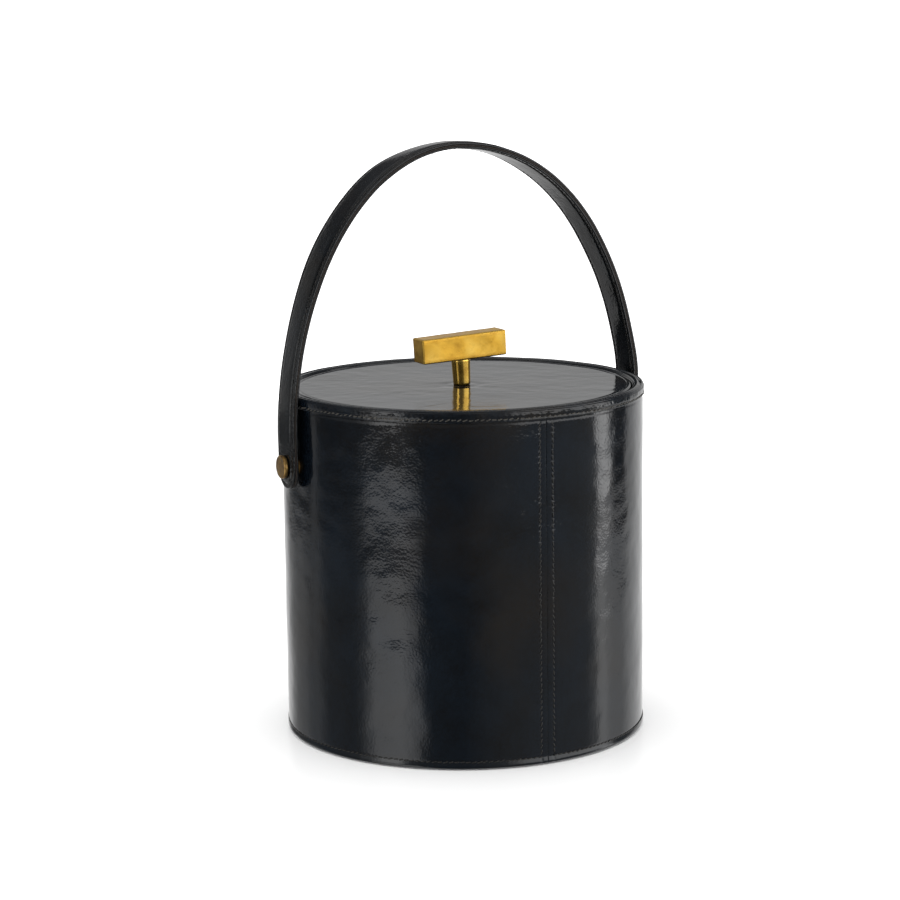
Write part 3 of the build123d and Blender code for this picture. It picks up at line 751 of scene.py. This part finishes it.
def smooth(t):
    t = np.clip(t, 0, 1)
    return t * t * (3 - 2 * t)


def section_axes(mids, nrms):
    """Out and across directions of the strap's section; its shoulders are twisted a few degrees."""
    h = mids[:, 1]
    twist = smooth((h - 55) / 60) * (1 - smooth((h - 146) / 15)) * np.where(mids[:, 0] < 0, -6.0, 4.0)
    t = np.radians(twist)[:, None]
    out = np.stack([nrms[:, 0], np.zeros(len(mids)), np.zeros(len(mids))], -1) + nrms[:, 1:2] * up_dir
    return np.cos(t) * out + np.sin(t) * across, -np.sin(t) * out + np.cos(t) * across


def middle(mids):
    return np.stack([mids[:, 0], np.zeros(len(mids)), np.full(len(mids), PIVOT_Z)], -1) + mids[:, 1:2] * up_dir


END_STEPS = np.sin(np.radians(np.linspace(0, 89.2, 20)))[1:] * STRAP_W / 2
E_LINE = np.array([0.0, 0.05, 0.14, 0.28, 0.45, 0.62, 0.85, 1.1, 1.35, 1.6, 1.85, 2.1, 2.35, 2.6, 2.85, 3.05,
                   3.22, 3.4, 3.6, 3.85, 4.2, 4.8, 5.8, 7.0, 8.4, 10.0])
STITCH_E = 1.85      # the stitch rows, in from the strap's edges


def strap_surface(e, s, lip, rise, pts, seed):
    """Height of the strap's face over its middle line, e in from the edge, s along it."""
    r = 0.55
    k = np.clip(r - e, 0, None)
    d = lip - (r - np.sqrt(np.clip(r * r - k * k, 0, None)))
    step = np.clip((e - 2.9) / 0.45, 0, 1)
    step = step * step * (3 - 2 * step)
    crown = np.sqrt(1 - (1 - np.clip((e - 3.0) / 2.8, 0, 1)) ** 2)
    d = d + (rise - lip) * (0.45 * step + 0.55 * crown) + 0.06 * np.clip((e - 5.0) / 5.0, 0, 1)
    d = d - 0.16 * np.exp(-((e - 2.75) / 0.30) ** 2)
    hole = 1 - 0.6 * stitch_wave(s, 2.6)
    d = d - 0.20 * hole * np.exp(-((e - STITCH_E) / 0.42) ** 2)
    d = d + 0.035 * field(pts, 17, seed) * np.clip(e / 1.0, 0, 1) + 0.012 * field(pts, 5, seed + 1) * np.clip(e, 0, 1)
    return d


def strap_piece(name, direction, lip, rise, base, seed, replaced):
    """One leather of the strap: direction +1 is the outer one, -1 the inner one."""
    stations = []            # (middle point, normal, t beyond the end centre, arc length)
    for t in END_STEPS[::-1]:
        stations.append(((path[0][0], END_H - t), path_n[0], t, -t))
    for i in range(len(path)):
        stations.append((tuple(path[i]), path_n[i], 0.0, path_len[i]))
    for t in END_STEPS:
        stations.append(((path[-1][0], END_H - t), path_n[-1], t, path_len[-1] + t))
    half_w = STRAP_W / 2
    rows, E, S, W = [], [], [], []
    for mid, nrm, t, s in stations:
        w_side = np.sqrt(np.clip((half_w - E_LINE) ** 2 - t * t, 0, None))
        w = np.concatenate([-w_side, w_side[-2::-1]])
        e = half_w - np.sqrt(w * w + t * t)
        W.append(w)
        E.append(e)
        S.append(np.full(len(w), s))
    W, E, S = np.array(W), np.array(E), np.array(S)
    nu, nw = W.shape
    mids = np.array([st[0] for st in stations])
    nrms = np.array([st[1] for st in stations])
    wobble = 0.10 * field(np.stack([S, W * 0, W * 0], -1).reshape(-1, 3), 40, seed + 5).reshape(nu, nw)
    ref = np.zeros((nu, nw, 3))
    ref[..., 0] = mids[:, 0:1]
    ref[..., 1] = W
    ref[..., 2] = mids[:, 1:2]
    d_top = strap_surface(E.ravel(), S.ravel(), lip, rise, ref.reshape(-1, 3), seed).reshape(nu, nw)
    # bottom of this leather lies on the core; its edge is rounded too
    k = np.clip(0.3 - E, 0, None)
    d_bot = np.full((nu, nw), base) + 0.3 - np.sqrt(np.clip(0.09 - k * k, 0, None))
    d_bot = np.minimum(d_bot, d_top - 0.02)
    loop_w = np.concatenate([W, W[:, ::-1]], axis=1)
    loop_d = np.concatenate([d_top, d_bot[:, ::-1]], axis=1) * direction
    out, side = section_axes(mids, nrms)
    p = middle(mids)[:, None, :] + loop_d[..., None] * out[:, None, :] + loop_w[..., None] * side[:, None, :]
    b = Builder()
    start = b.grid(p, wrap_v=True)
    n2 = p.shape[1]
    b.fan(range(start, start + n2))
    b.fan(range(start + (nu - 1) * n2, start + nu * n2), flip=True)
    return b.build(name, mat_strap, "handle", replaced, weld=0.002)


LIP_OUT, LIP_IN = 1.65, 1.5
RISE_OUT, RISE_IN = 2.25, 1.95
strap_piece("strap_outer", 1, LIP_OUT, RISE_OUT, CORE_T, 51,
            ["handle_outer_leather", "handle_padding_outer"])
strap_piece("strap_inner", -1, LIP_IN, RISE_IN - 0.1, CORE_T, 61,
            ["handle_inner_leather", "handle_padding_inner"])


# board strip between the two leathers, a hair inside their edges
mids = np.concatenate([[(path[0][0], END_H - t) for t in END_STEPS[::-1]], path, [(path[-1][0], END_H - t) for t in END_STEPS]])
nrms = np.concatenate([[path_n[0]] * len(END_STEPS), path_n, [path_n[-1]] * len(END_STEPS)])
reach = np.concatenate([END_STEPS[::-1], np.zeros(len(path)), END_STEPS])
wide = np.sqrt(np.clip((STRAP_W / 2) ** 2 - reach ** 2, 0, None)) - 0.12
wide = np.clip(wide, 0.05, None)
out, side = section_axes(mids, nrms)
ring = [(-1, -1), (-0.34, -1), (0.34, -1), (1, -1), (1, 1), (0.34, 1), (-0.34, 1), (-1, 1)]
p = np.stack([middle(mids) + side * (wide * a)[:, None] + out * (b_ * (CORE_T + 0.02)) for a, b_ in ring], axis=1)
b = Builder()
start = b.grid(p, wrap_v=True)
b.fan(range(start, start + 8))
b.fan(range(start + (len(mids) - 1) * 8, start + len(mids) * 8), flip=True)
b.build("strap_core", mat_board, "handle", ["handle_core"])


# thread along both edges of the strap and round its ends, on both faces
def strap_track(offset_from_edge, pitch):
    """Points of a stitch row along one side, round an end, back along the other."""
    r = STRAP_W / 2 - offset_from_edge
    seq = []
    for i in range(len(path)):
        seq.append((path[i], path_n[i], -r, 0.0))
    for t in np.linspace(0, math.pi, 26)[1:-1]:
        seq.append(((path[-1][0], END_H - r * math.sin(t)), path_n[-1], -r * math.cos(t), 1.0))
    for i in range(len(path) - 1, -1, -1):
        seq.append((path[i], path_n[i], r, 0.0))
    for t in np.linspace(0, math.pi, 26)[1:-1]:
        seq.append(((path[0][0], END_H - r * math.sin(t)), path_n[0], r * math.cos(t), 1.0))
    return seq


seq = strap_track(STITCH_E, 2.6)
mids = np.array([q[0] for q in seq], float)
nrms = np.array([q[1] for q in seq], float)
ws = np.array([q[2] for q in seq], float)
line = np.stack([mids[:, 0], ws, mids[:, 1]], -1)
closed = np.concatenate([line, line[:1]])
run = np.concatenate([[0], np.cumsum(np.linalg.norm(np.diff(closed, axis=0), axis=1))])
count = int(round(run[-1] / 2.6))
rng = np.random.default_rng(93)
for name, direction, lip in (("strap_thread_outer", 1, LIP_OUT), ("strap_thread_inner", -1, LIP_IN)):
    b = Builder()
    at = (np.arange(count) + 0.5) / count * run[-1]

    def sample(values):
        v = np.concatenate([values, values[:1]])
        return np.interp(at, run, v)

    mx, mh = sample(mids[:, 0]), sample(mids[:, 1])
    nx, nh = sample(nrms[:, 0]), sample(nrms[:, 1])
    w = sample(ws)
    ln = np.hypot(nx, nh)
    nx, nh = nx / ln, nh / ln
    on = np.stack([mx, mh], -1)
    out, side = section_axes(on, np.stack([nx, nh], -1))
    cen = middle(on) + out * (lip - 0.12) * direction + side * w[:, None]
    normal = out * direction
    nxt = np.roll(cen, -1, axis=0) - np.roll(cen, 1, axis=0)
    tang = nxt / np.linalg.norm(nxt, axis=1)[:, None]
    tang -= (tang * normal).sum(1)[:, None] * normal
    tang /= np.linalg.norm(tang, axis=1)[:, None]
    add_stitches(b, cen, tang, normal, 2.6 * 0.94, 0.30, rng, slant=0.28 * direction)
    b.build(name, mat_thread, "handle")

# ------------------------------------------------------------ pivot studs
for side, sgn in (("left", -1), ("right", 1)):
    lo, hi = box(f"pivot_stud_{side}")
    outer = hi[0] if sgn > 0 else -lo[0]
    inner = lo[0] if sgn > 0 else -hi[0]
    head_in = outer - 2.2
    prof = [(0.0, inner), (2.1, inner), (2.5, inner + 0.4), (2.5, head_in + 0.02), (5.6, head_in + 0.02)]
    prof += arc(5.75, head_in + 0.25, 0.25, -90, 0, 5)
    prof += [(6.0, outer - 0.42), (5.96, outer - 0.34), (5.66, outer - 0.06), (5.58, outer - 0.03)]
    prof += [(5.3, outer - 0.07), (4.9, outer - 0.12), (3.6, outer - 0.05), (2.0, outer - 0.01), (0.0, outer)]
    pts = lathe(prof, 64)
    p = np.stack([pts[..., 2] * sgn, pts[..., 0], pts[..., 1] + PIVOT_Z], -1)
    b = Builder()
    b.grid(p, wrap_u=True)
    b.build(f"stud_{side}", mat_stud, "bucket", [f"pivot_stud_{side}"], weld=0.003)

# ------------------------------------------------------------ floor
me = bpy.data.meshes.new("floor")
n = 96
ring = [(1.1 * math.cos(TAU * i / n), 1.1 * math.sin(TAU * i / n), 0.0) for i in range(n)]
me.from_pydata(ring, [], [list(range(n))])
floor = bpy.data.objects.new("floor", me)
scene.collection.objects.link(floor)
m, nt, bsdf, vec = new_material("white_board")
tone = noise(nt, vec, 9, 3.0, 0.5)
nt.links.new(ramp(nt, tone, [(0.3, (0.93, 0.93, 0.93)), (0.7, (0.95, 0.95, 0.95))]), bsdf.inputs["Base Color"])
bsdf.inputs["Roughness"].default_value = 0.18
bsdf.inputs["Specular IOR Level"].default_value = 0.5
me.materials.append(m)
floor.visible_glossy = False
floor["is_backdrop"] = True

# ------------------------------------------------------------ studio light
CAM_AZ = math.radians(26)
cam_dir = (-math.sin(CAM_AZ), -math.cos(CAM_AZ), 0)      # from the object to the camera
cam_right = (math.cos(CAM_AZ), -math.sin(CAM_AZ), 0)

world = bpy.data.worlds.new("studio")
scene.world = world
world.use_nodes = True
wt = world.node_tree
wt.nodes.clear()
w_out = wt.nodes.new("ShaderNodeOutputWorld")
w_bg = wt.nodes.new("ShaderNodeBackground")
wt.links.new(w_bg.outputs[0], w_out.inputs[0])
w_co = wt.nodes.new("ShaderNodeTexCoord")
direction = w_co.outputs["Generated"]


def dot(v):
    n = wt.nodes.new("ShaderNodeVectorMath")
    n.operation = "DOT_PRODUCT"
    wt.links.new(direction, n.inputs[0])
    n.inputs[1].default_value = v
    return n.outputs["Value"]


azim = math_node(wt, "ARCTAN2", dot(cam_right), dot(cam_dir))
turn = math_node(wt, "ADD", math_node(wt, "DIVIDE", azim, TAU), 0.5)     # 0.5 is towards the lens
elev = dot((0, 0, 1))
PEAK = 5.0
# brightness of the studio against the angle from the camera's side, in degrees:
# the table's reflection, the walls low down, and the walls above the table
TABLE = [(-180, 1.0), (-155, 0.9), (-146, 0.55), (-136, 0.42), (-124, 0.44), (-114, 0.36), (-109, 0.42), (-104, 0.30), (-98, 0.20),
         (-74, 0.20), (-67, 0.45), (-60, 1.45), (-40, 1.75), (-31, 1.05), (-27, 0.35), (-23, 0.12), (0, 0.10), (12, 0.20),
         (24, 0.28), (40, 0.31), (85, 0.34), (92, 0.7), (96, 1.6), (101, 1.6), (105, 1.15), (110, 0.95), (120, 0.72), (136, 1.0), (180, 1.0)]
LOW = [(-180, 1.0), (-158, 0.8), (-148, 0.25), (-138, 0.10), (-114, 0.10), (-111, 0.34), (-107, 0.34), (-104, 0.10), (-90, 0.08),
       (-72, 0.12), (-60, 0.16), (-40, 0.24), (-30, 0.15), (-24, 0.08), (0, 0.07), (12, 0.14), (24, 0.24), (60, 0.30), (86, 0.38),
       (92, 0.55), (95, 3.4), (102, 4.0), (106, 2.0), (109, 0.4), (113, 0.07), (124, 0.09), (129, 0.70), (145, 1.0), (180, 1.0)]
WALL = [(-180, 0.52), (-150, 0.50), (-128, 0.20), (-100, 0.18), (-72, 0.3), (-60, 0.9), (-52, 2.4), (-42, 2.4), (-36, 0.5), (-30, 0.2), (0, 0.15),
        (26, 0.4), (38, 1.9), (70, 2.05), (98, 2.3), (104, 1.0), (109, 0.2), (125, 0.2), (142, 0.5), (180, 0.52)]


def wall_ramp(stops):
    c = ramp(wt, turn, [((a + 180) / 360, (v / PEAK,) * 3) for a, v in stops])
    return mix_rgb(wt, 1.0, c, (PEAK, PEAK, PEAK), "MULTIPLY")


walls = mix_rgb(wt, remap(wt, elev, -0.212, -0.188, 0.0, 1.0), wall_ramp(TABLE), wall_ramp(LOW))
walls = mix_rgb(wt, remap(wt, elev, -0.118, -0.104, 0.0, 1.0), walls, wall_ramp(WALL))
dome = remap(wt, elev, 0.30, 0.42, 0.0, 1.0)
glossy = mix_rgb(wt, dome, walls, (0.10, 0.10, 0.105))
glossy = mix_rgb(wt, remap(wt, elev, 0.55, 0.85, 0.0, 1.0), glossy, (0.62, 0.62, 0.62))
path_node = wt.nodes.new("ShaderNodeLightPath")
for_light = mix_rgb(wt, path_node.outputs["Is Glossy Ray"], (1.75, 1.75, 1.75), glossy)
wt.links.new(for_light, w_bg.inputs["Color"])
w_bg.inputs["Strength"].default_value = 1.0


def area(name, angle, distance, height, size, power, aim=(0, 0, 0.1)):
    li = bpy.data.lights.new(name, "AREA")
    li.shape = "RECTANGLE"
    li.size, li.size_y = size
    li.energy = power
    ob = bpy.data.objects.new(name, li)
    a = math.radians(angle)
    d = np.array(cam_dir) * math.cos(a) + np.array(cam_right) * math.sin(a)
    ob.location = tuple(d * distance + np.array([0, 0, height]))
    ob.rotation_mode = "QUATERNION"
    ob.rotation_quaternion = (Vector(aim) - ob.location).to_track_quat("-Z", "Y")
    scene.collection.objects.link(ob)
    ob.visible_camera = False
    ob.visible_glossy = False
    return ob


area("key", -60, 1.6, 1.5, (0.9, 0.9), 1.0)

# ------------------------------------------------------------ camera
FOCAL_PX, FRAME_PX = 2695.8, 900
pitch, roll, yaw = math.radians(10.205), math.radians(-0.687), math.radians(0.274)
DIST, CAM_Z = 1.4043, 0.4001
cam_data = bpy.data.cameras.new("camera")
cam_data.sensor_width = 36.0
cam_data.lens = FOCAL_PX / FRAME_PX * 36.0
cam_data.clip_start, cam_data.clip_end = 0.05, 50
cam = bpy.data.objects.new("camera", cam_data)
scene.collection.objects.link(cam)
Rv = np.array([math.cos(CAM_AZ), -math.sin(CAM_AZ), 0])
Fv = np.array([math.sin(CAM_AZ), math.cos(CAM_AZ), 0])
Zv = np.array([0, 0, 1.0])
F1 = -math.sin(yaw) * Rv + math.cos(yaw) * Fv
R1 = math.cos(yaw) * Rv + math.sin(yaw) * Fv
F2 = math.cos(pitch) * F1 - math.sin(pitch) * Zv
U2 = math.sin(pitch) * F1 + math.cos(pitch) * Zv
Rt = math.cos(roll) * R1 + math.sin(roll) * U2
Up = -math.sin(roll) * R1 + math.cos(roll) * U2
cam.matrix_world = Matrix(((Rt[0], Up[0], -F2[0], -math.sin(CAM_AZ) * DIST),
                           (Rt[1], Up[1], -F2[1], -math.cos(CAM_AZ) * DIST),
                           (Rt[2], Up[2], -F2[2], CAM_Z), (0, 0, 0, 1)))
scene.camera = cam

scene.view_settings.view_transform = "Standard"
scene.view_settings.look = "None"
scene.view_settings.exposure = 0.0
scene.view_settings.gamma = 1.0

lo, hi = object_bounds()
